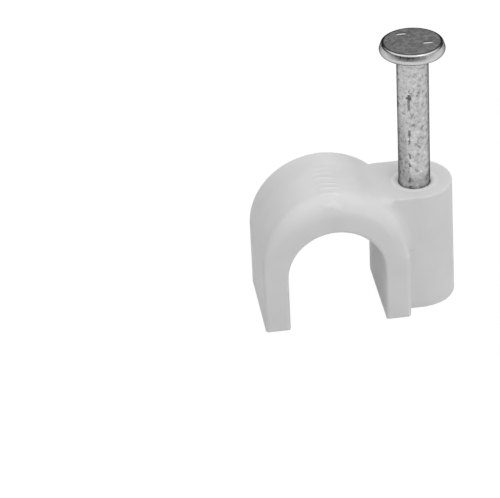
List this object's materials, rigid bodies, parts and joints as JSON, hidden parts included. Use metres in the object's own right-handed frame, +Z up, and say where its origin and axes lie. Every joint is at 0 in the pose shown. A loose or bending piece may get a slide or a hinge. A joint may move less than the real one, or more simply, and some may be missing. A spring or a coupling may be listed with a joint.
{
  "type": "cable clip",
  "caption": "Round plastic cable clip: an open arch on flat feet, with a side block that carries a steel fixing nail ready to be driven.",
  "frame": {"origin": "bottom centre of the whole clip's bounding box, on the plane of the feet", "axes": "+Z up along the nail towards its head, +Y along the cable, +X from the arch towards the nail block"},
  "size_m": [0.013, 0.0066, 0.0186],
  "materials": {
    "white_plastic": "satin moulded white plastic, faintly translucent",
    "plated_steel": "zinc plated, mottled shank and darker polished head"
  },
  "bodies": {
    "clip": {"clip_body": "white_plastic"},
    "nail": {"nail": "plated_steel"}
  },
  "joints": [
    {"name": "nail_drive", "type": "slide", "parent": "clip", "child": "nail", "axis": [0, 0, -1], "range_m": [0, 0.0087]}
  ]
}
